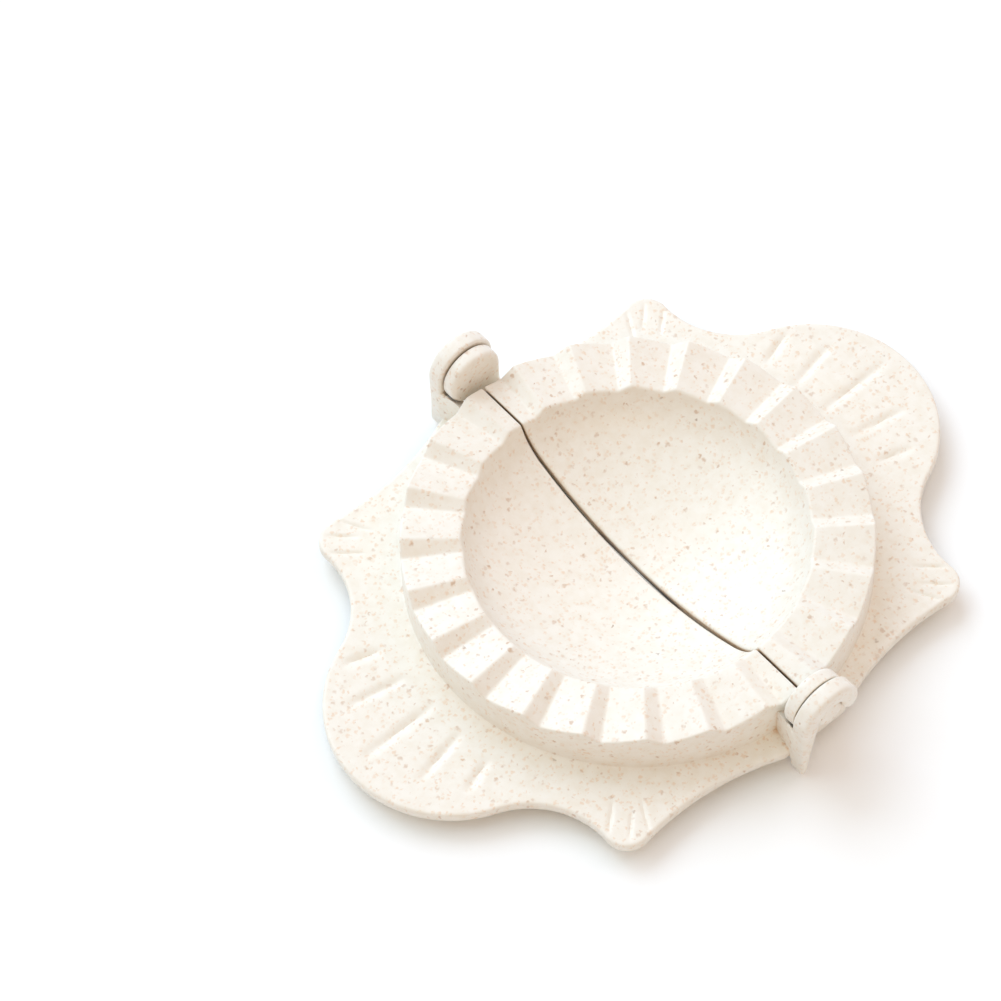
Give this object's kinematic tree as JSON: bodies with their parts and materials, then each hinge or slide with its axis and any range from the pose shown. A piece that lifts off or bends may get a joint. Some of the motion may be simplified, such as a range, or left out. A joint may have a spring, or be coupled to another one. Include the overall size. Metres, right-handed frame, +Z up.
{
  "type": "dumpling mold",
  "caption": "Round folding dumpling press in speckled cream plastic: hinged half bowls with a toothed crimping ring and lobed flanges to press together by hand.",
  "frame": {"origin": "on the table, under the middle of the open bowl, in the middle of the hinge line", "axes": "+X along the hinge, +Y from the hinge towards the lobe of the half with the pins, +Z up out of the bowl"},
  "size_m": [0.1072, 0.1412, 0.0225],
  "materials": {
    "speckled_plastic": "satin cream plastic filled with fine plant fibre, with tan and brown specks"
  },
  "bodies": {
    "hook_half": {"hook_half": "speckled_plastic"},
    "pin_half": {"pin_half": "speckled_plastic"}
  },
  "joints": [
    {"name": "hinge", "type": "hinge", "parent": "hook_half", "child": "pin_half", "pos_m": [0, 0, 0.0157], "axis": [1, 0, 0], "range_deg": [0, 180]}
  ]
}
